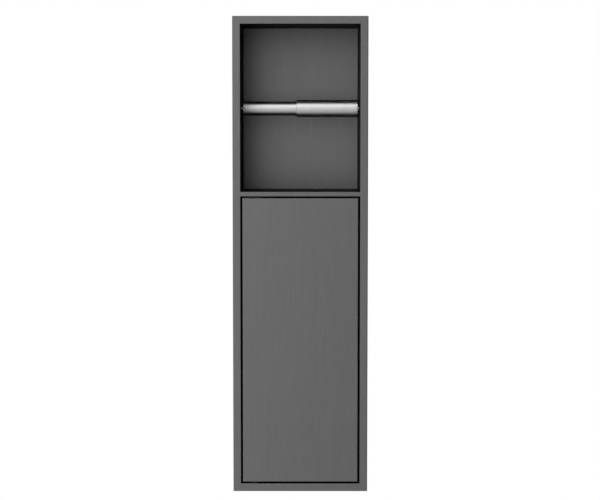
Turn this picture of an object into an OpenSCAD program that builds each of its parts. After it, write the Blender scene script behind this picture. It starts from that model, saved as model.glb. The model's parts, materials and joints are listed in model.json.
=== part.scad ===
// Recessed toilet paper holder with a cupboard below, in brushed sheet steel.
// Frame: +X right, +Y into the wall, +Z up. The origin is the middle of the face
// frame's rear side, on the finished wall. All sizes are in millimetres.

/* [Face frame] */
// Overall width of the face frame
frame_w = 170; // [160:1:190]
// Overall height of the face frame
frame_h = 600; // [580:1:660]
// Width of the rim round the two openings
rim = 10; // [9:0.5:13]
// Height of the rail between niche and door
rail = 6; // [6:0.5:9]
// Thickness of the frame, all of it proud of the wall
frame_t = 2; // [1.5:0.25:3]
// Height of the niche opening
niche_h = 209; // [190:1:230]
// Radius on the frame's front edges
frame_edge_r = 0.9; // [0.3:0.1:1]

/* [Housing] */
// Front face to the back wall of the niche
depth = 100; // [96:1:120]
// Sheet thickness of all folded pieces
sheet = 1.2; // [1:0.1:1.5]
// Inner radius of the bends in the housing's back corners
bend_r = 1.2; // [0.8:0.1:2]
// Height of the flanges folded down from the top and bottom caps
cap_flange = 12; // [8:1:16]
// Diameter of the fixing holes in the side walls
fix_d = 5; // [4:0.5:6]
// Distance between the two columns of fixing holes
fix_dy = 40; // [30:1:44]
// Distance between the two rows of fixing holes
fix_dz = 260; // [200:5:280]

/* [Door] */
// Gap between the door and its opening, on every side
door_gap = 2; // [1.8:0.1:2.4]
// Thickness of the folded door
door_t = 12; // [11.5:0.5:12.5]
// Radius on the door's front edges
door_edge_r = 1; // [0.5:0.1:1.1]
// Hinge axis, measured in from the door's left edge
pivot_in = 14; // [13.5:0.5:16]
// Hinge axis, measured back from the door's front face
pivot_back = 7; // [6.5:0.25:7]
// Diameter of the hinge pins
pivot_d = 5; // [4:0.5:5]

/* [Spindle] */
// Spindle axis, measured back from the front face
spindle_back = 45; // [42:1:50]
// Outer diameter of the thick right-hand sleeve
sleeve_d = 22; // [21.5:0.5:24]
// Outer diameter of the thin left-hand tube
tube_d = 18; // [17:0.5:18]
// Wall thickness of both tubes
tube_wall = 1; // [0.8:0.1:1]
// Length of the sleeve with its end cap
sleeve_len = 78; // [76:0.5:82]
// Thickness of the sleeve's end lip
lip_t = 2.5; // [1.5:0.5:3]
// Gap between each end of the spindle and the wall beside it
end_gap = 2.1; // [1.5:0.1:2.5]
// Diameter of the two end pins
pin_d = 4; // [3.5:0.5:4]
// Length of each end pin inside its socket
pin_in = 3; // [2.5:0.25:3]
// Curls of the spindle's spring
spindle_curls = 12; // [8:1:14]

/* [Touch latch] */
// Width of the latch housing
latch_w = 14; // [13:0.5:14]
// Height of the latch housing
latch_h = 16; // [15:0.5:18]
// Length of the latch housing
latch_len = 50; // [46:1:56]
// Diameter of the plunger
plunger_d = 8; // [7.5:0.5:8.5]
// Curls of the plunger's spring
latch_curls = 8; // [6:1:9]

/* [Hidden] */
$fn = 64;
eps = 0.01;
run_fit = 0.08;
push_fit = 0.02;

// Heights and half widths, worked out from the face frame
top_z = frame_h / 2 - rim;
bottom_z = -top_z;
rail_top_z = top_z - niche_h;
rail_low_z = rail_top_z - rail;
half_w = frame_w / 2 - rim;
face_y = -frame_t;
back_y = face_y + depth;
wall_x = half_w + sheet;

// The frame's rear is stepped back inside its outer band, so that the box's welds stay
// clear of the wall and only the band rests on it
weld_y = -0.5;
seat_in = 2 * sheet + 1.6;

// Door outline and hinge axis
door_w = 2 * (half_w - door_gap);
door_top = rail_low_z - door_gap;
door_low = bottom_z + door_gap;
door_h = door_top - door_low;
door_z = (door_top + door_low) / 2;
door_rear = face_y + door_t;
pivot_x = -door_w / 2 + pivot_in;
pivot_y = face_y + pivot_back;
thrust_gap = 0.3;

// Upper bearing: a plate under the divider with a plastic bush
plate_t = 1.2;
plate_w = 24;
plate_len = 34;
plate_screw_dx = 7;
plate_screw_y = 27;
bush_r = 3.6;
bush_flange_r = 5;
bush_up = 3.6;
low_bush_down = 1.8;
low_bush_r = 4;
block_w = 19;
block_h = 10;
pin_seat = 1;

// Spindle stations along X
spindle_y = face_y + spindle_back;
spindle_z = (top_z + rail_top_z) / 2;
sleeve_end = half_w - end_gap;
sleeve_mouth = sleeve_end - sleeve_len;
sleeve_r = sleeve_d / 2;
sleeve_bore = sleeve_r - tube_wall;
tube_r = tube_d / 2;
tube_bore = tube_r - tube_wall;
tube_end = -half_w + end_gap;
tube_tail = sleeve_mouth + 27;
mouth_lip = 0.8;
end_bevel = 0.3;
seam = 0.15;
bush_len = 8;
collar_t = 4;
plug_len = 7;
nose_len = 4;
nose_r = 5;
spring_from = tube_tail + collar_t;
spring_to = sleeve_end - lip_t - plug_len;
spindle_wire = 1;
spindle_coil_r = 6.5;
socket_out = 4;
socket_flange = 1;

// Touch latch stations along Y, on the right wall half way up the door
strike_t = 1.5;
latch_gap = 0.3;
latch_x = half_w - 6.2 - latch_w / 2;
latch_z = door_z;
tip_y = door_rear + strike_t + latch_gap;
latch_y = tip_y + 4.2;
latch_rear = latch_y + latch_len;
guide_len = 10;
plunger_len = 24;
plunger_collar = 4;
chamber_r = plunger_d / 2 + 0.6;
cap_plug = 5;
cap_lip = 1.5;
latch_wire = 0.8;
latch_coil_r = 3.3;
ear_y = latch_y + 26;
ear_dz = 12;
ear_t = 2.5;
bracket_len = 44;
bracket_w = 36;
bracket_foot = 9;
spring_room_y0 = tip_y + plunger_len + plunger_collar;
spring_room_y1 = latch_rear - cap_plug;
magnet_r = 3;
magnet_t = 2;

// Door stops near the free edge
stop_z = [door_top - 21, door_low + 21];
stop_y = door_rear + 4.8;
stop_w = 14;
stop_h = 18;
bumper_t = 2.2;
bumper_r = 4;

// Fixing holes in the side walls
fix_y = 60;
fix_z = door_z - 2.5;

// Finishes, as the photograph shows them
gunmetal = [0.37, 0.37, 0.375];
dark_steel = [0.25, 0.25, 0.26];
bright_steel = [0.80, 0.80, 0.79];
zinc = [0.66, 0.67, 0.68];
black_nylon = [0.09, 0.09, 0.10];
grey_nylon = [0.55, 0.56, 0.57];
clear_rubber = [0.82, 0.83, 0.83];
magnet_grey = [0.30, 0.30, 0.32];

// Helpers that lay a flat outline along one axis

// Outline in X and Z, carried along Y
module along_y(y0, y1) translate([0, y1, 0]) rotate([90, 0, 0]) linear_extrude(y1 - y0) children();

// Outline in Y and Z, carried along X
module along_x(x0, x1) translate([x0, 0, 0]) rotate([90, 0, 90]) linear_extrude(x1 - x0) children();

// Outline in radius and length, turned about an axis along X, Y or Z
module turned_x() rotate([0, 90, 0]) rotate_extrude() children();
module turned_y() rotate([-90, 0, 0]) rotate_extrude() children();
module turned_z() rotate_extrude() children();

// Rectangle with its middle at the origin and all four corners rounded
module rounded_rect(w, h, r) {
    square([w - 2 * r, h], center = true);
    square([w, h - 2 * r], center = true);
    for (x = [-1, 1], y = [-1, 1])
        translate([x * (w / 2 - r), y * (h / 2 - r)]) circle(r);
}

// Rectangle from y = 0 to y = len whose two far corners are rounded
module round_ended(w, len, r) {
    translate([-w / 2, 0]) square([w, len - r]);
    translate([-w / 2 + r, 0]) square([w - 2 * r, len]);
    for (x = [-1, 1])
        translate([x * (w / 2 - r), len - r]) circle(r);
}

// Rectangle that widens by a convex radius at its near side, y = 0. The arc meets that
// side at a slight angle, not tangent to it.
module flared(w, len, r) {
    translate([-w / 2, -1]) square([w, len + 1]);
    for (x = [-1, 1]) scale([x, 1])
        translate([w / 2, 0]) difference() {
            translate([-eps, -1]) square([r + eps, r + 1]);
            translate([r, 0.96 * r]) circle(r);
        }
}

// Plate across Y whose front edges are rounded, as rolled or folded sheet is
module soft_plate(w, h, y0, y1, edge_r, corner_r) intersection() {
    translate([0, y1, -h / 2]) mirror([0, 1, 0]) linear_extrude(h) round_ended(w, y1 - y0, edge_r);
    translate([-w / 2, y1, 0]) rotate([90, 0, 90]) linear_extrude(w)
        rotate(90) round_ended(h, y1 - y0, edge_r);
    along_y(y0, y1) rounded_rect(w, h, corner_r);
}

// Opening through a plate, with rounded front edges
module soft_opening(w, h, y0, y1, edge_r) intersection() {
    translate([0, y0, -h / 2 - edge_r]) linear_extrude(h + 2 * edge_r) flared(w, y1 - y0 + 1, edge_r);
    translate([-w / 2 - edge_r, y0, 0]) rotate([90, 0, 90]) linear_extrude(w + 2 * edge_r)
        rotate(-90) scale([-1, 1]) flared(h, y1 - y0 + 1, edge_r);
}

// Cap folded from one sheet: a plate with flanges down both sides and the back
module folded_cap() {
    w = 2 * (wall_x + sheet);
    d = back_y + 2 * sheet;
    h = cap_flange + sheet;
    relief = sheet + 1.5;
    difference() {
        intersection() {
            along_y(weld_y, d) round_ended(w, h, sheet);
            along_x(-w / 2, w / 2) difference() {
                translate([weld_y, 0]) square([d - weld_y, h]);
                translate([d - sheet, h - sheet]) difference() {
                    square(sheet + 1);
                    circle(sheet);
                }
            }
        }
        translate([-w / 2 + sheet, -1, -1]) cube([w - 2 * sheet, d - sheet + 1, h - sheet + 1]);
        for (x = [-1, 1])
            translate([x * (w / 2 - relief / 2 + eps), d - relief / 2 + eps, (h - sheet) / 2 - 1])
                cube([relief, relief, h - sheet + 2], center = true);
    }
}

// Tube swept along a helix about Z, as one closed surface with flat ends
function helix_point(r, pitch, a) = [r * cos(a), r * sin(a), pitch * a / 360];
function helix_ring(r, wire, pitch, a, sides) =
    let (rise = atan2(pitch, 2 * PI * r))
    [for (s = [0 : sides - 1])
        let (b = 360 * s / sides, out = wire / 2 * cos(b), up = wire / 2 * sin(b))
        helix_point(r, pitch, a)
            + out * [cos(a), sin(a), 0]
            + up * [sin(rise) * sin(a), -sin(rise) * cos(a), cos(rise)]];

module helix_tube(r, wire, len, curls, rings = 8, sides = 6) {
    pitch = (len - wire) / curls;
    n = curls * rings;
    points = [for (i = [0 : n]) each helix_ring(r, wire, pitch, 360 * i / rings, sides)];
    walls = [for (i = [0 : n - 1], s = [0 : sides - 1])
        let (a = i * sides + s, b = i * sides + (s + 1) % sides)
        each [[a, a + sides, b], [b, a + sides, b + sides]]];
    near_end = [for (s = [1 : sides - 2]) [0, s, s + 1]];
    far_end = [for (s = [1 : sides - 2]) [n * sides, n * sides + s + 1, n * sides + s]];
    translate([0, 0, wire / 2])
        polyhedron(points = points, faces = concat(walls, near_end, far_end), convexity = 10);
}

// Least gap between the curls of a helix, measured from point to point
function helix_gap(r, wire, len, curls, rings = 8) =
    let (pitch = (len - wire) / curls, n = curls * rings)
    min([for (i = [0 : n], j = [i + rings / 2 : 1 : n])
        norm(helix_point(r, pitch, 360 * i / rings) - helix_point(r, pitch, 360 * j / rings))]) - wire;
echo("least gap in the spindle's spring",
    helix_gap(spindle_coil_r, spindle_wire, spring_to - spring_from, spindle_curls));
echo("least gap in the latch's spring",
    helix_gap(latch_coil_r, latch_wire, spring_room_y1 - spring_room_y0, latch_curls));

// Screw with a domed head and a crossed recess; its head is below z = 0, its shank above
module pan_screw(shank_r, head_r, head_t, len) difference() {
    union() {
        turned_z() intersection() {
            translate([0, head_r * 1.5 - head_t]) circle(head_r * 1.5);
            translate([0, -head_t]) square([head_r, head_t]);
        }
        cylinder(r = shank_r, h = len - shank_r);
        translate([0, 0, len - shank_r]) cylinder(r1 = shank_r, r2 = 0.4, h = shank_r);
    }
    for (a = [0, 90]) rotate(a)
        translate([0, 0, -head_t]) cube([head_r * 1.2, head_r * 0.28, head_t], center = true);
}

// The housing, fixed in the wall

module face_frame() color(gunmetal) difference() {
    soft_plate(frame_w, frame_h, face_y, 0, frame_edge_r, 1);
    translate([0, 0, (top_z + rail_top_z) / 2])
        soft_opening(2 * half_w, niche_h, face_y, 0, frame_edge_r);
    translate([0, 0, (rail_low_z + bottom_z) / 2])
        soft_opening(2 * half_w, rail_low_z - bottom_z, face_y, 0, frame_edge_r);
    along_y(weld_y, 1) square(2 * [half_w + seat_in, top_z + seat_in], center = true);
}

// Left wall, back and right wall, folded from one sheet
module housing_wrap() color(gunmetal) difference() {
    translate([0, weld_y, bottom_z]) linear_extrude(top_z - bottom_z) difference() {
        round_ended(2 * wall_x, back_y + sheet - weld_y, bend_r + sheet);
        translate([0, -1]) round_ended(2 * half_w, back_y + 1 - weld_y, bend_r);
    }
    for (y = [-1, 1], z = [-1, 1])
        translate([0, fix_y + y * fix_dy / 2, fix_z + z * fix_dz / 2])
            rotate([0, 90, 0]) cylinder(d = fix_d, h = frame_w, center = true);
    translate([0, spindle_y, spindle_z])
        rotate([0, 90, 0]) cylinder(r = pin_d / 2 + 2, h = frame_w, center = true);
}

module top_cap() color(gunmetal)
    translate([0, 0, top_z - cap_flange]) folded_cap();

module bottom_cap() color(gunmetal) difference() {
    translate([0, 0, bottom_z + cap_flange]) mirror([0, 0, 1]) folded_cap();
    translate([pivot_x, pivot_y, bottom_z - 5]) cylinder(r = low_bush_r, h = 10);
}

// Channel between niche and cupboard, open behind the rail, with weld tabs turned down
module divider_shelf() {
    notch = bend_r + 0.3;
    tab_y = [52, 88];
    tab_h = 9;
    color(gunmetal) difference() {
        union() {
            along_x(-half_w, half_w) difference() {
                divider_outline(0, 0.8 + sheet);
                divider_outline(sheet, 0.8);
            }
            for (x = [-1, 1]) scale([x, 1, 1])
                translate([half_w - sheet, tab_y[0], rail_low_z - tab_h])
                    cube([sheet, tab_y[1] - tab_y[0], tab_h + eps]);
        }
        for (x = [-1, 1])
            translate([x * half_w, back_y, rail_low_z]) cube([2 * notch, 2 * notch, 4 * rail], center = true);
        translate([pivot_x, pivot_y, rail_low_z - 1]) cylinder(r = bush_r + 0.1, h = sheet + 2);
        for (x = [-1, 1])
            translate([pivot_x + x * plate_screw_dx, plate_screw_y, rail_low_z - 1])
                cylinder(r = 1.5, h = sheet + 2);
    }
}

// Side view of the channel, drawn in by the same amount on every closed side
module divider_outline(inset, r) {
    h = rail - 2 * inset;
    translate([weld_y - 2 * inset, rail_low_z + rail / 2]) rotate(-90)
        round_ended(h, back_y - weld_y + inset, r);
}

// Blind cup on the outside of a side wall, in which an end pin turns
module spindle_socket(side) color(bright_steel)
    translate([0, spindle_y, spindle_z]) scale([side, 1, 1])
        turned_x() difference() {
            union() {
                translate([0, half_w]) square([pin_d / 2 + 2 - push_fit, sheet + eps]);
                translate([0, wall_x]) square([pin_d / 2 + 4.5, socket_flange]);
                translate([0, wall_x]) square([pin_d / 2 + 2.5, socket_out - sheet]);
            }
            translate([0, half_w - 1]) square([pin_d / 2 + run_fit, pin_in + 1.3]);
            polygon([[0, half_w - eps], [pin_d / 2 + 0.7, half_w - eps],
                [pin_d / 2 + run_fit, half_w + 0.7], [0, half_w + 0.7]]);
        }
module spindle_socket_left() spindle_socket(-1);
module spindle_socket_right() spindle_socket(1);

// Removable bearing plate for the upper hinge pin
module upper_pivot_plate() color(dark_steel) difference() {
    translate([pivot_x, thrust_gap, rail_low_z - plate_t])
        linear_extrude(plate_t) round_ended(plate_w, plate_len, 3);
    translate([pivot_x, pivot_y, rail_low_z - 2 * plate_t])
        cylinder(r = bush_r + push_fit, h = 3 * plate_t);
    for (x = [-1, 1])
        translate([pivot_x + x * plate_screw_dx, plate_screw_y, rail_low_z - 2 * plate_t])
            cylinder(r = 1.7, h = 3 * plate_t);
}

module upper_pivot_bush() color(black_nylon)
    translate([pivot_x, pivot_y, rail_low_z - plate_t]) turned_z() difference() {
        union() {
            square([bush_r, plate_t + bush_up]);
            translate([0, thrust_gap - door_gap + plate_t])
                square([bush_flange_r, door_gap - plate_t - thrust_gap]);
        }
        translate([0, -5]) square([pivot_d / 2 + run_fit, 15]);
    }

module pivot_plate_screws() color(zinc)
    for (x = [-1, 1])
        translate([pivot_x + x * plate_screw_dx, plate_screw_y, rail_low_z - plate_t])
            pan_screw(1.48, 2.75, 1.7, plate_t + sheet + 2);

// Thrust bearing that carries the door
module lower_pivot_bush() color(black_nylon)
    translate([pivot_x, pivot_y, bottom_z]) turned_z() difference() {
        union() {
            translate([0, -sheet - low_bush_down])
                square([low_bush_r - push_fit, sheet + low_bush_down + eps]);
            square([low_bush_r + 1.5, door_gap - thrust_gap]);
        }
        translate([0, -5]) square([pivot_d / 2 + run_fit, 15]);
    }

// Hat-shaped bracket on the right wall
module latch_bracket() {
    crown_x = latch_x + latch_w / 2;
    color(dark_steel) difference() {
        translate([0, 0, latch_z])
            along_y(ear_y - bracket_len / 2, ear_y + bracket_len / 2) difference() {
                union() {
                    translate([half_w, 0]) rotate(90)
                        round_ended(bracket_w, half_w - crown_x, 0.6 + sheet);
                    translate([half_w - sheet / 2, 0])
                        square([sheet, bracket_w + 2 * bracket_foot], center = true);
                }
                translate([half_w + 1, 0]) rotate(90)
                    round_ended(bracket_w - 2 * sheet, half_w - crown_x + 1 - sheet, 0.6);
            }
        for (z = [-1, 1])
            translate([crown_x - 1, ear_y, latch_z + z * ear_dz])
                rotate([0, 90, 0]) cylinder(r = 1.5, h = sheet + 2);
    }
}

module latch_housing() color(black_nylon) difference() {
    union() {
        translate([latch_x, 0, latch_z]) along_y(latch_y, latch_rear) rounded_rect(latch_w, latch_h, 2);
        translate([latch_x + latch_w / 2 - ear_t, ear_y, latch_z])
            rotate([90, 0, 90]) linear_extrude(ear_t) rounded_rect(10, 2 * ear_dz + 10, 4.9);
    }
    translate([latch_x, latch_y - 1, latch_z]) rotate([-90, 0, 0])
        cylinder(r = plunger_d / 2 + run_fit, h = latch_len);
    translate([latch_x, latch_y + guide_len, latch_z]) rotate([-90, 0, 0])
        cylinder(r = chamber_r, h = latch_len);
    for (z = [-1, 1])
        translate([latch_x, ear_y, latch_z + z * ear_dz]) rotate([0, 90, 0]) cylinder(r = 1.7, h = latch_w);
}

// Rear closure of the latch, which the spring pushes against
module latch_end_cap() color(black_nylon) {
    translate([latch_x, 0, latch_z]) along_y(latch_rear, latch_rear + cap_lip)
        rounded_rect(latch_w, latch_h, 2);
    translate([latch_x, latch_rear, latch_z]) turned_y() {
        translate([0, -cap_plug]) square([chamber_r - push_fit, cap_plug + eps]);
        translate([0, -cap_plug - nose_len]) square([latch_coil_r - 1.5, nose_len + eps]);
    }
}

module latch_spring() color(bright_steel)
    translate([latch_x, spring_room_y0, latch_z]) rotate([-90, 0, 0])
        helix_tube(latch_coil_r, latch_wire, spring_room_y1 - spring_room_y0, latch_curls);

module latch_screws() color(zinc)
    for (z = [-1, 1])
        translate([latch_x + latch_w / 2 - ear_t, ear_y, latch_z + z * ear_dz])
            rotate([0, 90, 0]) pan_screw(1.48, 2.75, 1.7, ear_t + sheet + 3);

// Small angles on the right wall that stop the door if it is pushed too far
module stop_angles() color(dark_steel)
    for (z = stop_z)
        translate([0, 0, z - stop_h / 2]) linear_extrude(stop_h) difference() {
            translate([half_w - stop_w, stop_y]) square([stop_w, 18]);
            translate([half_w - stop_w - 1, stop_y + sheet]) square([stop_w + 1 - sheet, 18]);
            translate([half_w - sheet, stop_y + sheet]) difference() {
                translate([0, -sheet - 1]) square(sheet + 1);
                circle(sheet);
            }
        }

module stop_bumpers() color(clear_rubber)
    for (z = stop_z)
        translate([half_w - stop_w / 2 - 1, stop_y, z]) rotate([90, 0, 0]) rotate_extrude() {
            square([bumper_r, bumper_t * 0.35]);
            translate([0, bumper_t * 0.35 - eps]) intersection() {
                translate([0, -bumper_r * 1.3]) circle(bumper_r * 1.3 + bumper_t * 0.65);
                square([bumper_r - 0.3, bumper_t * 0.65 + eps]);
            }
        }

// The door

module door_skin() color(gunmetal) difference() {
    translate([0, 0, door_z]) soft_plate(door_w, door_h, face_y, door_rear, door_edge_r, 0.8);
    translate([0, 0, door_z]) along_y(face_y + sheet, door_rear + 1)
        square([door_w - 2 * sheet, door_h - 2 * sheet], center = true);
    for (z = [door_top, door_low])
        translate([pivot_x, pivot_y, z]) cylinder(r = pivot_d / 2 + push_fit, h = 4 * sheet, center = true);
}

// Inner sheet that closes the door, with a flange along each long side
module door_backer() {
    w = door_w - 2 * sheet;
    flange = 7;
    color(dark_steel) difference() {
        translate([0, 0, door_low + sheet]) linear_extrude(door_h - 2 * sheet) difference() {
            translate([0, door_rear - flange]) round_ended(w, flange, 1);
            translate([0, door_rear - flange - 1]) square([w - 2 * sheet, 2 * (flange + 1 - sheet)], center = true);
        }
        for (z = [-1, 1])
            translate([latch_x, door_rear, latch_z + z * 8.5]) rotate([90, 0, 0])
                cylinder(r = 1.6, h = 4 * sheet, center = true);
    }
}

module pivot_block(z, up) color(zinc) difference() {
    translate([pivot_x - block_w / 2, face_y + sheet, z - (up > 0 ? block_h : 0)])
        cube([block_w, door_t - 2 * sheet, block_h]);
    translate([pivot_x, pivot_y, z - up * (block_h - pin_seat)]) scale([1, 1, up])
        cylinder(r = pivot_d / 2 + push_fit, h = block_h);
}
module pivot_block_upper() pivot_block(door_top - sheet, 1);
module pivot_block_lower() pivot_block(door_low + sheet, -1);

// Steel pin with a chamfered tip, standing on the bottom of its block's hole
module pivot_pin(z, up, len) color(bright_steel)
    translate([pivot_x, pivot_y, z]) scale([1, 1, up]) turned_z()
        polygon([[0, 0], [pivot_d / 2, 0], [pivot_d / 2, len - 0.6], [pivot_d / 2 - 0.6, len], [0, len]]);
module pivot_pin_upper()
    pivot_pin(door_top - sheet - block_h + pin_seat, 1, block_h - pin_seat + sheet + door_gap + bush_up - 0.4);
module pivot_pin_lower()
    pivot_pin(door_low + sheet + block_h - pin_seat, -1,
        block_h - pin_seat + sheet + door_gap + sheet + low_bush_down - 0.4);

module strike_plate() color(zinc) difference() {
    translate([latch_x, 0, latch_z]) along_y(door_rear, door_rear + strike_t) rounded_rect(15, 26, 2);
    for (z = [-1, 1])
        translate([latch_x, door_rear, latch_z + z * 8.5]) rotate([90, 0, 0])
            cylinder(r = 1.6, h = 4 * strike_t, center = true);
}

// Domed rivets through the strike plate and the door's inner sheet
module strike_rivets() color(zinc)
    for (z = [-1, 1])
        translate([latch_x, door_rear, latch_z + z * 8.5]) turned_y() {
            translate([0, -sheet - 1]) square([2.4, 1]);
            translate([0, -sheet - eps]) square([1.58, sheet + strike_t + 2 * eps]);
            translate([0, strike_t]) intersection() {
                translate([0, 1.3 - 3.5]) circle(3.5);
                square([2.75, 1.3]);
            }
        }

// The latch's moving plunger

module latch_plunger() color(grey_nylon)
    translate([latch_x, tip_y, latch_z]) turned_y() difference() {
        union() {
            polygon([[0, 0], [plunger_d / 2 - 0.4, 0], [plunger_d / 2, 0.4],
                [plunger_d / 2, plunger_len + eps], [0, plunger_len + eps]]);
            translate([0, plunger_len]) square([plunger_d / 2 + 0.5, plunger_collar]);
            translate([0, plunger_len + plunger_collar - eps]) square([latch_coil_r - 1.5, nose_len]);
        }
        translate([0, -1]) square([magnet_r + push_fit, magnet_t + 1]);
    }

module latch_magnet() color(magnet_grey)
    translate([latch_x, tip_y, latch_z]) rotate([-90, 0, 0]) cylinder(r = magnet_r, h = magnet_t);

// The spindle's sleeve

// Pin with a round tip, from radius zero outwards, with its root at length zero
module pin_outline(len) {
    square([pin_d / 2, len - pin_d / 2]);
    translate([0, len - pin_d / 2]) intersection() {
        circle(pin_d / 2);
        translate([0, -eps]) square(pin_d);
    }
}

module on_spindle() translate([0, spindle_y, spindle_z]) children();

module spindle_sleeve() color(bright_steel) on_spindle() turned_x() difference() {
    polygon([[0, sleeve_mouth], [sleeve_r - end_bevel, sleeve_mouth],
        [sleeve_r, sleeve_mouth + end_bevel], [sleeve_r, sleeve_end - lip_t - seam],
        [sleeve_r - seam, sleeve_end - lip_t], [0, sleeve_end - lip_t]]);
    translate([0, sleeve_mouth + mouth_lip]) square([sleeve_bore, sleeve_len]);
    translate([0, sleeve_mouth - 1]) square([tube_r + 0.2, sleeve_len]);
}

module sleeve_end_cap() color(bright_steel) on_spindle() turned_x() {
    polygon([[0, sleeve_end - lip_t], [sleeve_r - seam, sleeve_end - lip_t],
        [sleeve_r, sleeve_end - lip_t + seam], [sleeve_r, sleeve_end - end_bevel],
        [sleeve_r - end_bevel, sleeve_end], [0, sleeve_end]]);
    translate([0, spring_to]) square([sleeve_bore - push_fit, plug_len + eps]);
    translate([0, spring_to - nose_len]) square([nose_r, nose_len + eps]);
    translate([0, sleeve_end - eps]) pin_outline(end_gap + pin_in + eps);
}

// Plastic ring behind the sleeve's turned-in mouth
module guide_bush() color(black_nylon) on_spindle() turned_x()
    translate([tube_r + 0.05, sleeve_mouth + mouth_lip])
        square([sleeve_bore - push_fit - tube_r - 0.05, bush_len]);

module spindle_spring() color(bright_steel) on_spindle()
    translate([spring_from, 0, 0]) rotate([0, 90, 0])
        helix_tube(spindle_coil_r, spindle_wire, spring_to - spring_from, spindle_curls);

// The spindle's thin tube, which slides into the sleeve

module inner_tube() color(bright_steel) on_spindle() turned_x()
    translate([tube_bore, tube_end + 0.8]) square([tube_wall, tube_tail - tube_end - 0.8]);

module inner_end_plug() color(bright_steel) on_spindle() scale([-1, 1, 1]) turned_x() {
    polygon([[0, -tube_end - 0.8], [tube_r, -tube_end - 0.8], [tube_r, -tube_end - end_bevel],
        [tube_r - end_bevel, -tube_end], [0, -tube_end]]);
    translate([0, -tube_end - 0.8 - plug_len]) square([tube_bore - push_fit, plug_len + eps]);
    translate([0, -tube_end - eps]) pin_outline(end_gap + pin_in + eps);
}

// Plastic plug whose collar runs in the sleeve and can't pass the guide bush
module piston_plug() color(black_nylon) on_spindle() turned_x() {
    translate([0, tube_tail - plug_len]) square([tube_bore - push_fit, plug_len + eps]);
    translate([0, tube_tail]) square([sleeve_bore - 0.05, collar_t]);
    translate([0, tube_tail + collar_t - eps]) square([nose_r, nose_len]);
}

face_frame();
housing_wrap();
top_cap();
bottom_cap();
divider_shelf();
spindle_socket_left();
spindle_socket_right();
upper_pivot_plate();
upper_pivot_bush();
pivot_plate_screws();
lower_pivot_bush();
latch_bracket();
latch_housing();
latch_end_cap();
latch_spring();
latch_screws();
stop_angles();
stop_bumpers();
door_skin();
door_backer();
pivot_block_upper();
pivot_block_lower();
pivot_pin_upper();
pivot_pin_lower();
strike_plate();
strike_rivets();
latch_plunger();
latch_magnet();
spindle_sleeve();
sleeve_end_cap();
guide_bush();
spindle_spring();
inner_tube();
inner_end_plug();
piston_plug();
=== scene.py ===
# %% [markdown]
# # A recessed toilet paper holder in brushed gunmetal steel
#
# The object is a slim steel box that goes into a stud wall. Its upper third is an open niche with
# a spring-loaded spindle across it, and its lower two thirds are a cupboard behind a flush door.
# The solid model of all its sheet metal, tubes, pins and latch parts is loaded here as a fixed
# frame. This script gives every one of those pieces its finish, replaces the few whose fine shape
# matters close up, such as springs, screws and rivets, and sets up a small studio round them.

import json
import math

import bmesh
import bpy
import numpy as np
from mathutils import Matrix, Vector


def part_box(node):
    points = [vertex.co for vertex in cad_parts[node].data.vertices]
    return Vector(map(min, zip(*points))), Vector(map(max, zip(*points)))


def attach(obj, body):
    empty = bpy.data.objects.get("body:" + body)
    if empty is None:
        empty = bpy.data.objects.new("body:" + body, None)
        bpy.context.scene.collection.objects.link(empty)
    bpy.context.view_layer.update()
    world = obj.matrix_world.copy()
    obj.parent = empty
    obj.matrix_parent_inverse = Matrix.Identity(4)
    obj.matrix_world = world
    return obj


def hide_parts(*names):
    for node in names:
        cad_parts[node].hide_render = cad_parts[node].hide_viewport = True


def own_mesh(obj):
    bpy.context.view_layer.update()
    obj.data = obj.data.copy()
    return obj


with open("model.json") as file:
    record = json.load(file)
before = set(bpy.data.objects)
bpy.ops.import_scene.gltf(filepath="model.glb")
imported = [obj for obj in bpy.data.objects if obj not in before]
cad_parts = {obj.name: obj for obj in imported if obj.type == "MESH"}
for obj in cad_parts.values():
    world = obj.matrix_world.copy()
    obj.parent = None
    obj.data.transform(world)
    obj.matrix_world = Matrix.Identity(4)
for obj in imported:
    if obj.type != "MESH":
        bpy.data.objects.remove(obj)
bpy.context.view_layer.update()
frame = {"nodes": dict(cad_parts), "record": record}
parts = frame["nodes"]

# %% [markdown]
# ## Landmarks
#
# Everything added later sits on the sheet metal, so the few places that it needs are read from the
# boxes of the pieces that carry it and not typed in. Lengths are in metres, and `MM` turns a size
# in millimetres into one.

# %% Landmarks on the sheet metal
MM = 0.001
X, Y, Z = 0, 1, 2


def span(piece, axis):
    """Lowest and highest coordinate of a piece along one axis."""
    low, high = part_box(piece)
    return low[axis], high[axis]


def middle(piece, axis):
    """Coordinate of the middle of a piece's box along one axis."""
    return sum(span(piece, axis)) / 2


sheet = 1.2 * MM
frame_low = span("face_frame", Z)[0]
face_y = span("face_frame", Y)[0]
box_front, back_out = span("housing_wrap", Y)
box_top = span("housing_wrap", Z)[1]
wall_out = span("housing_wrap", X)[1]
wall_in = wall_out - sheet
back_in = back_out - sheet
cap_low, cap_top = span("top_cap", Z)
flange_z = middle("top_cap", Z)
spindle_y = middle("spindle_sleeve", Y)
spindle_z = middle("spindle_sleeve", Z)
print("opening half width", round(wall_in / MM, 2), "mm, spindle axis", spindle_y, spindle_z)

# %% [markdown]
# ## The camera
#
# The photograph looks at the front from about two metres, at the height of the niche and tilted
# down a few degrees, so the object is a trace narrower at its foot. The place and the focal length
# were worked out from the edges of the frame, the niche and the door in the picture: the niche's
# back wall is drawn smaller than its opening, and by how much tells the distance.

# %% The camera
SENSOR = 36.0
PICTURE_W = 600
FOCAL_PIXELS = 1626.5
CAMERA_RIGHT = 2.7 * MM
CAMERA_BACK = 2039.6 * MM
CAMERA_UP = 465.7 * MM
PITCH_DOWN = math.radians(4.427)
TURN_LEFT = math.radians(0.087)


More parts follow.
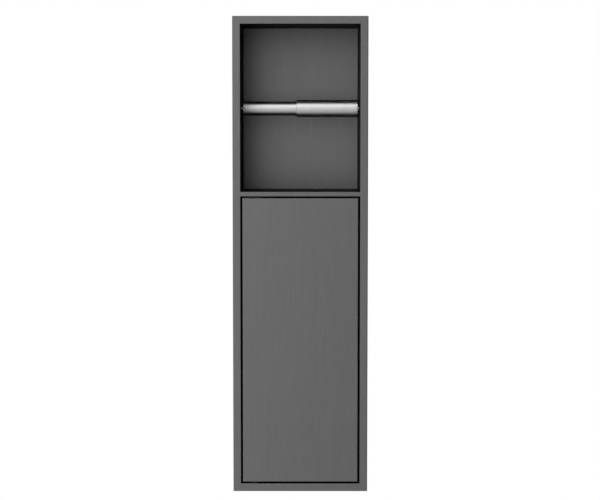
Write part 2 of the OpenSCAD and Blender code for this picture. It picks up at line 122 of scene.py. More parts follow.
def make_camera():
    """Puts a camera in front of the face frame, tilted down and turned left a little."""
    lens = bpy.data.cameras.new("camera")
    lens.sensor_width = SENSOR
    lens.lens = FOCAL_PIXELS * SENSOR / PICTURE_W
    made = bpy.data.objects.new("camera", lens)
    made.location = (CAMERA_RIGHT, face_y - CAMERA_BACK, frame_low + CAMERA_UP)
    made.rotation_euler = (math.radians(90) - PITCH_DOWN, 0, TURN_LEFT)
    bpy.context.scene.collection.objects.link(made)
    bpy.context.scene.camera = made
    return made


camera = make_camera()
print("camera at", tuple(round(v, 3) for v in camera.location), "lens", round(camera.data.lens, 2))

# %% [markdown]
# ## Small helpers for shader nodes
#
# A material is a chain of small nodes. One function adds a node and fills its inputs, and a few
# short ones stand for the sums that come up again and again, so that each finish below reads like
# a recipe. All patterns are laid out in object coordinates, which are real metres here, so a noise
# with a scale of 1000 has lumps about a millimetre wide, and they stay put when a piece moves.

# %% Helpers that build nodes


def fill(tree, node, inputs):
    """Fills a node's inputs. A value that is another node's output gets linked."""
    for key, value in dict(inputs).items():
        if isinstance(value, bpy.types.NodeSocket):
            tree.links.new(value, node.inputs[key])
        else:
            node.inputs[key].default_value = value
    return node


def add(tree, kind, inputs=(), **settings):
    """Adds a node with its settings and fills its inputs."""
    made = tree.nodes.new("ShaderNode" + kind)
    for key, value in settings.items():
        setattr(made, key, value)
    return fill(tree, made, inputs)


def maths(tree, operation, a, b=0.0, c=0.0, clamp=False):
    """One sum of two or three numbers, as an output that other nodes can take."""
    return add(tree, "Math", {0: a, 1: b, 2: c}, operation=operation, use_clamp=clamp).outputs[0]


def remap(tree, value, low, high, to_low, to_high):
    """Straight-line change of range, held at both ends."""
    inputs = {0: value, 1: low, 2: high, 3: to_low, 4: to_high}
    return add(tree, "MapRange", inputs).outputs[0]


def vary(tree, value, amount):
    """A factor of 1 where the value is 0.5, with the given amount more for each unit above it."""
    return maths(tree, "MULTIPLY_ADD", value, amount, 1 - amount / 2)


def mixed(tree, where, first, second):
    """The first colour where a mask is 0, the second where it is 1."""
    return add(tree, "Mix", {0: where, 6: first, 7: second}, data_type="RGBA").outputs[2]


def between(tree, where, first, second):
    """The first number where a mask is 0, the second where it is 1."""
    return add(tree, "Mix", {0: where, 2: first, 3: second}, data_type="FLOAT").outputs[0]


print("node helpers ready")

# %% Helpers that lay out patterns


def place_on(tree, stretch=(1, 1, 1), shift=(0, 0, 0)):
    """Object coordinates, stretched and shifted, for a pattern that sticks to the piece."""
    here = add(tree, "TexCoord").outputs["Object"]
    return add(tree, "Mapping", {0: here, 1: shift, 3: stretch}).outputs[0]


def apart(tree, where=None):
    """The three coordinates of a place, each as a number."""
    here = where or add(tree, "TexCoord").outputs["Object"]
    return add(tree, "SeparateXYZ", {0: here}).outputs


def noise(tree, where, detail=2.0, roughness=0.5):
    """Smooth random value round 0.5, from about 0.2 to 0.8, at each point of the pattern."""
    inputs = {"Vector": where, "Scale": 1.0, "Detail": detail, "Roughness": roughness}
    return add(tree, "TexNoise", inputs).outputs["Fac"]


def lumps(tree, per_metre, shift=(0, 0, 0), detail=2.0, roughness=0.5):
    """Noise that sticks to the piece, with so many lumps per metre: one number for all directions,
    or three for X, Y and Z."""
    stretch = np.broadcast_to(per_metre, 3).tolist()
    return noise(tree, place_on(tree, stretch, shift), detail, roughness)


def along(axis, across, lengthwise):
    """Stretch for a pattern of lines that run along one axis."""
    stretch = [across] * 3
    stretch[axis] = lengthwise
    return stretch


def shade(tree, colour, factor):
    """A colour made lighter or darker by a factor that changes over the surface."""
    made = add(tree, "VectorMath", {0: colour}, operation="SCALE")
    return fill(tree, made, {"Scale": factor}).outputs[0]


def relief(tree, height, depth, below=None):
    """Small bumps whose height is the value times a depth in metres, laid over other bumps."""
    inputs = {"Height": height, "Strength": 1.0, "Distance": depth}
    if below:
        inputs["Normal"] = below
    return add(tree, "Bump", inputs).outputs[0]


def new_finish(name):
    """Starts a material, and returns it with its node tree and its main shader."""
    material = bpy.data.materials.new(name)
    material.use_nodes = True
    return material, material.node_tree, material.node_tree.nodes["Principled BSDF"]


def fed_by(tree, socket):
    """What feeds a socket of the main shader so far, for a layer that goes over it."""
    return tree.nodes["Principled BSDF"].inputs[socket].links[0].from_socket


def feed(tree, socket, value):
    """Links a new value into a socket of the main shader, in place of the one before."""
    fill(tree, tree.nodes["Principled BSDF"], {socket: value})


def tone(tree, factor):
    """Makes the finished colour of a material lighter or darker by a factor."""
    feed(tree, "Base Color", shade(tree, fed_by(tree, "Base Color"), factor))


print("pattern helpers ready")

# %% [markdown]
# ## Studio light
#
# Brushed metal shows its surroundings more than its own colour, so the surroundings matter. The
# picture was taken in a white studio with one wide soft light ahead of the object, a little to
# the left of the camera and reaching high up, and a dim right side. That is why the niche's back
# wall fades to the left, where the side wall hides that light, and why the spindle is bright on
# top. Lamps could stand for it, but a world whose brightness is a smooth function of direction is
# simpler and has no noise: one ramp for the way round, one for the height, and their product.
#
# So there is one white studio, seen in three ways. The camera, and light that comes through clear
# rubber, meet it burnt out to plain white. Shiny metal mirrors it with its shading. Matt plastic
# gathers light from everywhere at once, so it gets the studio's mean level, evenly.

# %% The world


def ramp(tree, value, stops):
    """Grey that follows a list of (place, brightness) stops with smooth steps between them."""
    made = add(tree, "ValToRGB", {0: value})
    made.color_ramp.interpolation = "EASE"
    points = made.color_ramp.elements
    while len(points) < len(stops):
        points.new(1.0)
    for point, (place, grey) in zip(points, stops):
        point.position = place
        point.color = (grey, grey, grey, 1)
    return made.outputs[0]


# Places are shares of a full turn: 0.5 is straight ahead, 0.25 right and 0.75 left
ROUND_STOPS = [(0, 0.45), (0.22, 0.45), (0.30, 0.05), (0.459, 0.05), (0.541, 0.80), (0.616, 0.80),
               (0.659, 0.07), (0.70, 0.09), (0.78, 0.45), (1, 0.45)]
# Places run from straight down at 0 over the horizon at 0.5 to straight up at 1
HEIGHT_STOPS = [(0, 0.255), (0.5, 0.555), (0.87, 0.97), (1, 0.18)]
WORLD_LEVEL = 4.0
MATT_LEVEL = 0.7


def backdrop(tree, strength):
    """White light of one strength from every direction that the world is asked for."""
    return add(tree, "Background", {"Color": (1, 1, 1, 1), "Strength": strength}).outputs[0]


def make_world():
    """White to the camera and through clear pieces, a soft studio worked out from the direction
    to glossy rays, and an even level to the rest."""
    world = bpy.data.worlds.new("studio")
    bpy.context.scene.world = world
    world.use_nodes = True
    # A lamp-like sampling of the world can't tell a glossy ray from a matt one, so it is off
    world.cycles.sampling_method = "NONE"
    tree = world.node_tree
    tree.nodes.clear()
    x, y, z = apart(tree, add(tree, "TexCoord").outputs["Generated"])
    turn = maths(tree, "ARCTAN2", maths(tree, "MULTIPLY", x, -1), maths(tree, "MULTIPLY", y, -1))
    turn = maths(tree, "MULTIPLY_ADD", turn, 0.5 / math.pi, 0.5)
    height = maths(tree, "MULTIPLY_ADD", z, 0.5, 0.5)
    glow = maths(tree, "MULTIPLY", ramp(tree, turn, ROUND_STOPS), ramp(tree, height, HEIGHT_STOPS))
    glow = maths(tree, "MULTIPLY", glow, WORLD_LEVEL)
    path = add(tree, "LightPath").outputs
    lit = {0: path["Is Glossy Ray"], 1: backdrop(tree, MATT_LEVEL), 2: backdrop(tree, glow)}
    lit = add(tree, "MixShader", lit).outputs[0]
    seen = maths(tree, "MAXIMUM", path["Is Camera Ray"], path["Is Transmission Ray"])
    shown = add(tree, "MixShader", {0: seen, 1: lit, 2: backdrop(tree, 1.0)}).outputs[0]
    add(tree, "OutputWorld", {0: shown})
    return world


world = make_world()
bpy.context.scene.view_settings.view_transform = "Standard"
print("world:", len(world.node_tree.nodes), "nodes")

# %% [markdown]
# ## Floor and lamps
#
# The object hangs in a wall, so the floor lies well below it, as it does in a bathroom, and the
# photograph doesn't show it. It is a pale disc that keeps the object's soft shadow and fades into
# the white background at its rim, so no edge of it ever shows. Seen from below it is clear, and
# so it is to shiny metal, which sees the studio in its place. Two wide lamps fill in what
# isn't metal, such as the plastic latch, and are hidden from reflections.

# %% The floor
FLOOR_DROP = 450 * MM
FLOOR_RADIUS = 1.7


def make_floor():
    """Round floor: rings of points at growing radii about a middle point, faded by radius."""
    rings, columns = 8, 64
    radius = np.linspace(0, FLOOR_RADIUS, rings + 1)[1:, None]
    angle = np.arange(columns) * 2 * np.pi / columns
    level = np.full((rings, columns), frame_low - FLOOR_DROP)
    points = np.stack((radius * np.cos(angle), radius * np.sin(angle), level), axis=-1)
    centre = rings * columns
    points = np.vstack((points.reshape(-1, 3), (0, 0, frame_low - FLOOR_DROP)))
    number = np.arange(rings * columns).reshape(rings, columns)
    after = np.roll(number, -1, axis=1)
    quads = np.stack((number[:-1], number[1:], after[1:], after[:-1]), axis=-1).reshape(-1, 4)
    fan = np.stack((np.full(columns, centre), number[0], after[0]), axis=-1)
    mesh = bpy.data.meshes.new("floor")
    mesh.from_pydata(points.tolist(), [], quads.tolist() + fan.tolist())
    floor = bpy.data.objects.new("floor", mesh)
    bpy.context.scene.collection.objects.link(floor)
    mesh.materials.append(make_floor_finish())
    return floor


def make_floor_finish():
    """Matt white that turns clear towards the rim, from below, and to reflected rays."""
    material, tree, shader = new_finish("pale_floor")
    x, y, z = apart(tree)
    radius = maths(tree, "SQRT", maths(tree, "MULTIPLY_ADD", x, x, maths(tree, "MULTIPLY", y, y)))
    rim = remap(tree, radius, 0.5 * FLOOR_RADIUS, 0.98 * FLOOR_RADIUS, 0, 1)
    mottle = vary(tree, lumps(tree, 14, detail=4), 0.03)
    colour = shade(tree, (0.92, 0.92, 0.915), mottle)
    fill(tree, shader, {"Base Color": colour, "Roughness": 0.9, "Specular IOR Level": 0.1})
    path = add(tree, "LightPath").outputs
    below = add(tree, "NewGeometry").outputs["Backfacing"]
    hidden = maths(tree, "MAXIMUM", rim, below)
    hidden = maths(tree, "MAXIMUM", hidden, path["Is Glossy Ray"])
    hidden = maths(tree, "MAXIMUM", hidden, path["Is Transmission Ray"], clamp=True)
    clear = add(tree, "BsdfTransparent", {0: (1, 1, 1, 1)}).outputs[0]
    shown = add(tree, "MixShader", {0: hidden, 1: shader.outputs[0], 2: clear}).outputs[0]
    fill(tree, tree.nodes["Material Output"], {0: shown})
    return material


floor = make_floor()
print("floor", round((frame_low - FLOOR_DROP) / MM), "mm from the object's middle")

# %% Two soft lamps
LAMPS = {
    "key_lamp": {"place": (-1.3, -1.7, 1.5), "size": 1.6, "watts": 26},
    "fill_lamp": {"place": (1.5, -1.4, 0.5), "size": 1.8, "watts": 9},
}


def make_lamp(name, place, size, watts):
    """Square lamp that faces the object's middle and isn't seen in reflections."""
    light = bpy.data.lights.new(name, "AREA")
    light.shape = "SQUARE"
    light.size = size
    light.energy = watts
    lamp = bpy.data.objects.new(name, light)
    lamp.location = place
    aim = math.hypot(place[0], place[1])
    turn = math.atan2(-place[0], place[1]) + math.pi
    lamp.rotation_euler = (math.pi / 2 - math.atan2(place[2], aim), 0, turn)
    lamp.visible_glossy = False
    bpy.context.scene.collection.objects.link(lamp)
    return lamp


for name, facts in LAMPS.items():
    lamp = make_lamp(name, **facts)
    print(name, "aims", tuple(round(math.degrees(v)) for v in lamp.rotation_euler))

# %% [markdown]
# ## Brushed gunmetal
#
# The frame, the door and the niche are all sheet steel that has been drawn over an abrasive belt
# and then given a dark gunmetal coat. The belt leaves long fine scratches. They run upright on the
# walls and from side to side on the caps and the shelf, which are smoother and toned darker, with
# painted shade of the niche's top and floor.
# Seen from two metres they are soft upright streaks about a millimetre wide and a few centimetres
# long, on bands that are wider and fainter still, and close up there are finer scratches between
# them. A picture of scratches would repeat, so noise does it: the same noise is packed closely
# across the grain and drawn out along it, at three sizes.
#
# Scratches also smear what the steel reflects, mostly square to themselves. The shader's
# anisotropy does that along its tangent, and the tangent comes from a cross product of the
# surface's own direction and the scratches' direction, so it is right on every side of a fold.

# %% Brushed steel
# Lumps per metre, first across the grain and then along it
STREAKS = (850, 28)
SCRATCHES = (5200, 170)
BANDS = (70, 6)
# Keeps a direction from being nothing where the surface looks along the scratches
TRACE = (0.001, 0.002, 0.001)


def across(tree, groove):
    """Direction along the surface and square to its scratches: the cross product of the surface's
    normal and the scratches' direction, and a trace more."""
    normal = add(tree, "NewGeometry").outputs["Normal"]
    side = add(tree, "VectorMath", {0: normal, 1: groove}, operation="CROSS_PRODUCT").outputs[0]
    return add(tree, "VectorMath", {0: side, 1: TRACE}).outputs[0]


def brushed(name, grey, axis, roughness, smear, shift=(0, 0, 0), edge=0.0):
    """Steel drawn over an abrasive belt, with its scratches along one axis. Streaks and wide soft
    bands set how light it is, the streaks also how rough, and fine scratches are cut into it."""
    material, tree, shader = new_finish(name)
    streaks = lumps(tree, along(axis, *STREAKS), shift, detail=3)
    scratches = lumps(tree, along(axis, *SCRATCHES), shift)
    bands = lumps(tree, along(axis, *BANDS), shift)
    lightness = maths(tree, "MULTIPLY", vary(tree, streaks, 0.30), vary(tree, bands, 0.08))
    fill(tree, shader, {
        "Base Color": shade(tree, (grey, grey, grey), lightness),
        "Roughness": maths(tree, "MULTIPLY_ADD", streaks, 0.12, roughness - 0.06),
        "Normal": relief(tree, scratches, 0.004 * MM),
        "Tangent": across(tree, along(axis, 0, 1)),
        "Metallic": 1.0,
        "Anisotropic": smear,
        "Specular Tint": (edge, edge, edge, 1),
    })
    return material


GUNMETAL = 0.161
# The niche's walls: the gunmetal a trace darker, painted shade of the niche
SHADED_INNER_GUNMETAL = 0.157
SATIN = 0.45
SMEAR = 0.08
# Caps and shelf: the same steel, with painted shade of the niche's top and floor in its darker grey
SHADED_CROSS_GRAIN = 0.086
CROSS_SATIN = 0.33
front_steel = brushed("brushed_frame", GUNMETAL, Z, SATIN, SMEAR)
door_steel = brushed("brushed_door", GUNMETAL, Z, SATIN, SMEAR, shift=(3.1, 0.4, 7.7))
wrap_steel = brushed("brushed_wrap", SHADED_INNER_GUNMETAL, Z, SATIN, SMEAR, shift=(8.3, 2.6, 1.9))
cap_steel = brushed("brushed_cap", SHADED_CROSS_GRAIN, X, CROSS_SATIN, SMEAR, shift=(5.5, 9.1, 4.2))
divider_steel = brushed("brushed_divider", SHADED_CROSS_GRAIN, X, CROSS_SATIN, SMEAR, shift=(1.7, 6.3, 2.8))
dark_sheet = brushed("dark_sheet", 0.13, Z, 0.42, 0.3, shift=(6.6, 3.3, 9.4), edge=0.4)
dark_bracket = brushed("dark_bracket", 0.19, Y, 0.40, 0.3, shift=(2.2, 7.4, 5.1))
print("brushed steels ready")

# %% [markdown]
# ## Painted shade behind the door gap
#
# The gap round the door is an even dark line in the photograph. Bright metal behind it would break
# the line, so whatever lies there carries painted shade: the hinge's bearing plate has a black oxide
# all over, made nearly black as painted shade, and the latch's bracket is blackened only on the
# edges that look out of the gap. A mask finds those by their direction, since the surface's normal
# points straight to the front there.
#
# The same trick paints shade on the sides of the niche. They are seen almost along their surface and
# stay darker than its back, as upright scratches shade each other from that side, so the faces of
# the folded sheet whose normal points left or right get a darker tone: painted shade.

# %% Painted shade on faces, found by their direction
# How dark the painted shade makes the bracket's front faces
FRONT_PAINTED_SHADE = 0.12
# How dark the painted shade makes the niche's side faces
SIDE_PAINTED_SHADE = 0.62


def facing(tree, axis):
    """How far a face looks along one axis: 1 for straight along it, -1 for straight against."""
    return apart(tree, add(tree, "NewGeometry").outputs["Normal"])[axis]


def paint_shade_on_front(material):
    """Paints shade on the faces that look out at the front, against Y, by nearly blackening them."""
    tree = material.node_tree
    tone(tree, remap(tree, facing(tree, Y), -0.9, -0.8, FRONT_PAINTED_SHADE, 1))


def paint_shade_on_sides(material):
    """Paints shade on the faces that look left or right, either way along X, with a darker tone."""
    tree = material.node_tree
    sideways = maths(tree, "ABSOLUTE", facing(tree, X))
    tone(tree, remap(tree, sideways, 0.8, 0.9, 1, SIDE_PAINTED_SHADE))


# Painted shade: the hinge's bearing plate nearly black, as dark as the door gap
black_plate_painted_shade = brushed("black_plate_painted_shade", 0.03, X, 0.42, 0.2, shift=(4.9, 8.6, 0.3), edge=0.1)
# Painted shade on the latch bracket's faces that look out of the door gap
paint_shade_on_front(dark_bracket)
# Painted shade on the niche's side faces
paint_shade_on_sides(wrap_steel)
print("darker by direction:", dark_bracket.name, "and", wrap_steel.name)

# %% [markdown]
# ## The hidden outside
#
# Nobody brushes the faces that go into the wall. They keep the skin that the rolling mill left:
# smoother, a little blotchy, with faint rolling lines and the odd scuff from handling. The same
# sheet is brushed inside and plain outside, so one material needs both, and a mask tells which
# side a point is on by how far it lies past the middle of the sheet.
#
# The caps are spot-welded on through their flanges. Each weld leaves a round mark where the
# electrode pressed: a shallow dimple, a bright middle and a straw-coloured ring.

# %% Mill skin and weld marks


def past_skin(tree):
    """1 on the outer faces of the box, 0 on its inner faces, by the largest distance past the
    middle of the side walls, the back or the top and bottom."""
    x, y, z = apart(tree)
    side = maths(tree, "SUBTRACT", maths(tree, "ABSOLUTE", x), wall_in + sheet / 2)
    back = maths(tree, "SUBTRACT", y, back_in + sheet / 2)
    end = maths(tree, "SUBTRACT", maths(tree, "ABSOLUTE", z), box_top + sheet / 2)
    furthest = maths(tree, "MAXIMUM", side, maths(tree, "MAXIMUM", back, end))
    return maths(tree, "GREATER_THAN", furthest, 0.0)


def cover(tree, where, new):
    """Lays new values over what feeds the main shader's sockets, where a mask is 1."""
    for socket, value in new.items():
        blend = mixed if socket == "Base Color" else between
        feed(tree, socket, blend(tree, where, fed_by(tree, socket), value))


def keep_mill_skin(material, shift):
    """Plain rolled steel on the outside: blotches and rolling lines in colour and gloss, and
    scuffs where a stretched noise is at its highest."""
    tree = material.node_tree
    blotches = lumps(tree, 22, shift, detail=4, roughness=0.6)
    rolling = lumps(tree, (260, 260, 3), shift, detail=3)
    scuffs = lumps(tree, (40, 90, 420), shift, detail=3, roughness=0.7)
    scuffs = remap(tree, scuffs, 0.64, 0.74, 0, 1)
    light = maths(tree, "MULTIPLY", vary(tree, blotches, 0.5), vary(tree, rolling, 0.25))
    light = maths(tree, "MULTIPLY_ADD", scuffs, 0.16, light)
    rough = maths(tree, "MULTIPLY_ADD", blotches, 0.25, 0.24)
    rough = maths(tree, "MULTIPLY_ADD", scuffs, 0.12, rough)
    skin = shade(tree, (0.175, 0.176, 0.18), light)
    cover(tree, past_skin(tree), {"Base Color": skin, "Roughness": rough})


WELD_SPACING = 30 * MM
DIMPLE = 2.2 * MM
STRAW_RING = 5 * MM
DIMPLE_DEPTH = 0.12 * MM
STRAW = (0.17, 0.13, 0.085, 1)
PRESSED_BRIGHT = (0.26, 0.26, 0.265, 1)


def mark_spot_welds(material):
    """Round marks at even steps along the flanges: the distance to the nearest step, taken along
    the flange and from its middle line, gives the dimple and the ring round it."""
    tree = material.node_tree
    x, y, z = apart(tree)
    width = maths(tree, "ABSOLUTE", x)
    on_side = maths(tree, "GREATER_THAN", width, wall_out + sheet / 2)
    step = between(tree, on_side, x, y)
    step = maths(tree, "PINGPONG", step, WELD_SPACING / 2)
    height = maths(tree, "SUBTRACT", maths(tree, "ABSOLUTE", z), flange_z)
    apart_by = maths(tree, "MULTIPLY_ADD", height, height, maths(tree, "MULTIPLY", step, step))
    apart_by = maths(tree, "SQRT", apart_by)
    dimple = remap(tree, apart_by, DIMPLE, 1.3 * DIMPLE, 1, 0)
    ring = remap(tree, apart_by, DIMPLE, STRAW_RING, 0.7, 0)
    plain = maths(tree, "LESS_THAN", maths(tree, "ABSOLUTE", height), box_top - cap_low)
    flanged = maths(tree, "MULTIPLY", past_skin(tree), plain)
    ring = maths(tree, "MULTIPLY", ring, flanged)
    dimple = maths(tree, "MULTIPLY", dimple, flanged)
    cover(tree, ring, {"Base Color": STRAW})
    cover(tree, dimple, {"Base Color": PRESSED_BRIGHT, "Roughness": 0.3})
    unpressed = maths(tree, "SUBTRACT", 1.0, dimple)
    feed(tree, "Normal", relief(tree, unpressed, DIMPLE_DEPTH, fed_by(tree, "Normal")))


keep_mill_skin(wrap_steel, (4.4, 1.2, 7.9))
keep_mill_skin(cap_steel, (0.9, 5.8, 3.6))
mark_spot_welds(cap_steel)
print("mill skin on", wrap_steel.name, "and", cap_steel.name)

# %% [markdown]
# ## Turned and polished steel
#
# The spindle's two tubes are bright brushed steel, but brushed while they spin, so the scratches
# are rings round the tube. The picture shows them as fine upright lines that differ a little in
# brightness. Rings are noise that changes along the axis only. Adding the distance from the axis
# to that place makes the same noise draw circles on a flat end and rings on the tube, so one
# recipe serves tubes, pins, sockets and end caps.
#
# The hinge's pins lie behind the door gap, so they have the same rings under a nearly black tone,
# painted shade as dark as the gap.

# %% Turned steel
# Lumps per metre of the wide rings, along the axis and in the two directions across it, and
# where in the noise they start. The fine rings change slowly across the axis as well.
WIDE_RINGS = (500, 15, 15)
WIDE_START = (4, 7, 2)
DRIFT = 30


def turned(name, grey, axis, centre, roughness, smear, per_metre=2000, edge=0.9, contrast=0.13):
    """Steel finished while it spins. The pattern's first coordinate is the place along the axis
    plus the distance from it, and the other two change slowly, so that rings fade in and out.
    Wider rings, a few millimetres apart, lie over the fine ones, as the belt wandered."""
    material, tree, shader = new_finish(name)
    here = place_on(tree, shift=[-c for c in centre])
    place = apart(tree, here)
    length, first, second = (place[(axis + k) % 3] for k in range(3))
    out = maths(tree, "MULTIPLY_ADD", first, first, maths(tree, "MULTIPLY", second, second))
    ring = maths(tree, "ADD", length, maths(tree, "SQRT", out))
    where = add(tree, "CombineXYZ", {0: ring, 1: first, 2: second}).outputs[0]
    rings = add(tree, "Mapping", {0: where, 3: (per_metre, DRIFT, DRIFT)}).outputs[0]
    rings = noise(tree, rings, detail=4, roughness=0.65)
    wide = add(tree, "Mapping", {0: where, 1: WIDE_START, 3: WIDE_RINGS}).outputs[0]
    wide = noise(tree, wide, detail=0)
    light = maths(tree, "MULTIPLY", vary(tree, rings, contrast), vary(tree, wide, 0.11))
    fill(tree, shader, {
        "Base Color": shade(tree, (grey, grey, grey), light),
        "Roughness": maths(tree, "MULTIPLY_ADD", rings, 0.06, roughness - 0.03),
        "Normal": relief(tree, rings, 0.003 * MM),
        "Tangent": add(tree, "VectorMath", {0: along(axis, 0, 1), 1: TRACE}).outputs[0],
        "Metallic": 1.0,
        "Anisotropic": smear,
        "Specular Tint": (edge, edge, edge, 1),
    })
    return material


spindle_axis = (0, spindle_y, spindle_z)
hinge_axis = (middle("pivot_pin_upper", X), middle("pivot_pin_upper", Y), 0)
spindle_steel = turned("spindle_steel", 0.645, X, spindle_axis, 0.42, 0.64, edge=0.0)
socket_steel = turned("socket_steel", 0.42, X, spindle_axis, 0.33, 0.4, 2600, contrast=0.9)
# Painted shade: the hinge's pins nearly black, as dark as the door gap
pin_steel_painted_shade = turned("pin_steel_painted_shade", 0.03, Z, hinge_axis, 0.34, 0.3, 4000, edge=0.1)
print("turned steels round", spindle_axis, "and", hinge_axis)

# %% [markdown]
# ## The spindle's ends
#
# The pins are made lighter than the tubes, a painted highlight on each pin. The last half
# millimetre of each tube is made darker.
# The distance from the spindle's axis tells a pin from a tube, and the place along it tells where
# the edge begins, so the two masks only change how light the steel is.

# %% Painted highlight on the pins, and darker tube ends
PIN_RADIUS = 2 * MM
END_LIP = 2.5 * MM
EDGE_RING = 0.45 * MM
# Painted highlight: the pins this much lighter; the tube ends this much darker
PIN_PAINTED_HIGHLIGHT = 1.5
DARKER_TUBE_END = 0.2


def paint_pin_highlight_darken_ends(material, reach):
    """Makes the pins lighter, a painted highlight, and the last half millimetre of each tube darker.
    A tube's end lies at a given distance from the middle."""
    tree = material.node_tree
    x, y, z = apart(tree)
    up = maths(tree, "SUBTRACT", z, spindle_z)
    back = maths(tree, "SUBTRACT", y, spindle_y)
    out = maths(tree, "MULTIPLY_ADD", up, up, maths(tree, "MULTIPLY", back, back))
    pin = maths(tree, "LESS_THAN", maths(tree, "SQRT", out), 1.05 * PIN_RADIUS)
    edge = maths(tree, "GREATER_THAN", maths(tree, "ABSOLUTE", x), reach - EDGE_RING)
    tone(tree, between(tree, pin, between(tree, edge, 1.0, DARKER_TUBE_END), PIN_PAINTED_HIGHLIGHT))


spindle_end = span("spindle_sleeve", X)[1] + END_LIP
# Painted highlight on the pins, and darker tube ends
paint_pin_highlight_darken_ends(spindle_steel, spindle_end)
print("spindle ends at", round(spindle_end / MM, 2), "mm")

# %% [markdown]
# ## Zinc plate, drawn wire, welds
#
# Small hardware is zinc-plated: pale, faintly blue, with straw patches where the clear chromate
# over it is thicker. Spring wire has been pulled through a die, so its scratches run along the
# wire, wherever the wire goes. Object coordinates can't follow it round, and the spring's own UV
# map can, because it was made with one direction round the wire and the other along it.

# %% Zinc, wire and weld metal


def zinc_plated(name):
    """Pale blue and straw patches that drift into each other, with a fine grain over both."""
    material, tree, shader = new_finish(name)
    patches = lumps(tree, 240, detail=3)
    grain = lumps(tree, 2600, detail=3)
    hue = remap(tree, patches, 0.38, 0.62, 0, 1)
    hue = mixed(tree, hue, (0.53, 0.585, 0.65, 1), (0.64, 0.61, 0.52, 1))
    fill(tree, shader, {
        "Base Color": shade(tree, hue, vary(tree, grain, 0.25)),
        "Roughness": maths(tree, "MULTIPLY_ADD", grain, 0.25, 0.22),
        "Normal": relief(tree, grain, 0.006 * MM),
        "Metallic": 1.0,
    })
    return material


def drawn_wire(name):
    """Oil-tempered spring wire, with die lines along its UV map's second direction."""
    material, tree, shader = new_finish(name)
    flat = add(tree, "UVMap").outputs[0]
    lines = add(tree, "Mapping", {0: flat, 3: (26, 9, 1)}).outputs[0]
    lines = noise(tree, lines, detail=3, roughness=0.6)
    tempered = add(tree, "Mapping", {0: flat, 3: (1.5, 40, 1)}).outputs[0]
    tempered = remap(tree, noise(tree, tempered, detail=1), 0.4, 0.6, 0, 1)
    hue = mixed(tree, tempered, (0.40, 0.41, 0.44, 1), (0.46, 0.42, 0.36, 1))
    fill(tree, shader, {
        "Base Color": shade(tree, hue, vary(tree, lines, 0.4)),
        "Roughness": maths(tree, "MULTIPLY_ADD", lines, 0.2, 0.16),
        "Normal": relief(tree, lines, 0.006 * MM),
        "Metallic": 1.0,
    })
    return material


def weld_metal(name):
    """Grey metal that froze from a melt, tinted straw and blue where it stayed hot longest."""
    material, tree, shader = new_finish(name)
    heat = lumps(tree, 160, detail=3, roughness=0.6)
    grit = lumps(tree, 3000, detail=3)
    straw = remap(tree, heat, 0.36, 0.5, 0, 1)
    plain = remap(tree, heat, 0.5, 0.6, 0, 1)
    hue = mixed(tree, straw, (0.18, 0.20, 0.24, 1), (0.28, 0.25, 0.20, 1))
    hue = mixed(tree, plain, hue, (0.31, 0.31, 0.32, 1))
    fill(tree, shader, {
        "Base Color": shade(tree, hue, vary(tree, grit, 0.4)),
        "Roughness": maths(tree, "MULTIPLY_ADD", grit, 0.3, 0.2),
        "Normal": relief(tree, grit, 0.01 * MM),
        "Metallic": 1.0,
    })
    return material


zinc = zinc_plated("zinc_plate")
wire_steel = drawn_wire("spring_wire")
bead_steel = weld_metal("weld_bead")
print("small metal finishes ready")

# %% [markdown]
# ## Moulded plastic, rubber and the magnet
#
# The bushes and the latch's body are black glass-filled nylon, moulded in a tool whose faces were
# spark-eroded to a fine pitted texture, so they have no clear reflections. The hinge's bushes are
# duller and nearly black, painted shade so that they don't show in the door gap. The
# plunger is grey nylon, a little polished along its length where it slides. The bumpers are clear
# soft plastic, slightly milky, and the magnet is a ground ferrite disc.

# %% Plastics, rubber and ferrite


def moulded(name, colour, roughness, worn=0.0, shine=0.5):
    """Spark-eroded nylon: fine pits in the surface, slow flow marks in its colour, and polished
    lines along Y, where a sliding part wears, as deep as worn says."""
    material, tree, shader = new_finish(name)
    pits = lumps(tree, 3800, detail=3, roughness=0.6)
    flow = lumps(tree, (60, 25, 60), detail=3)
    slid = lumps(tree, along(Y, 1800, 60))
    rough = maths(tree, "MULTIPLY_ADD", pits, 0.2, roughness - 0.1)
    rough = maths(tree, "MULTIPLY_ADD", slid, -worn, rough)
    light = maths(tree, "MULTIPLY", vary(tree, flow, 0.3), vary(tree, pits, 0.25))
    fill(tree, shader, {
        "Base Color": shade(tree, colour, light),
        "Roughness": rough,
        "Normal": relief(tree, pits, 0.02 * MM),
        "Specular IOR Level": shine,
    })
    return material


def clear_soft(name):
    """Clear polyurethane with a milky cast: light goes through, and a faint orange peel on its
    dome bends it."""
    material, tree, shader = new_finish(name)
    peel = lumps(tree, 600)
    milk = lumps(tree, 180)
    fill(tree, shader, {
        "Base Color": shade(tree, (0.90, 0.91, 0.90), vary(tree, milk, 0.12)),
        "Roughness": maths(tree, "MULTIPLY_ADD", milk, 0.25, 0.06),
        "Normal": relief(tree, peel, 0.02 * MM),
        "Transmission Weight": 0.85,
        "IOR": 1.49,
    })
    return material


def ferrite(name):
    """Dark ground ceramic: fine parallel grinding lines with small bright crystals between."""
    material, tree, shader = new_finish(name)
    ground = lumps(tree, along(X, 4200, 120))
    crystals = remap(tree, lumps(tree, 2600, detail=1), 0.6, 0.7, 0, 1)
    light = maths(tree, "MULTIPLY_ADD", crystals, 0.5, vary(tree, ground, 0.5))
    fill(tree, shader, {
        "Base Color": shade(tree, (0.12, 0.12, 0.125), light),
        "Roughness": maths(tree, "MULTIPLY_ADD", ground, 0.3, 0.22),
        "Normal": relief(tree, ground, 0.004 * MM),
        "Metallic": 0.7,
    })
    return material


black_nylon = moulded("black_nylon", (0.042, 0.042, 0.044), 0.50)
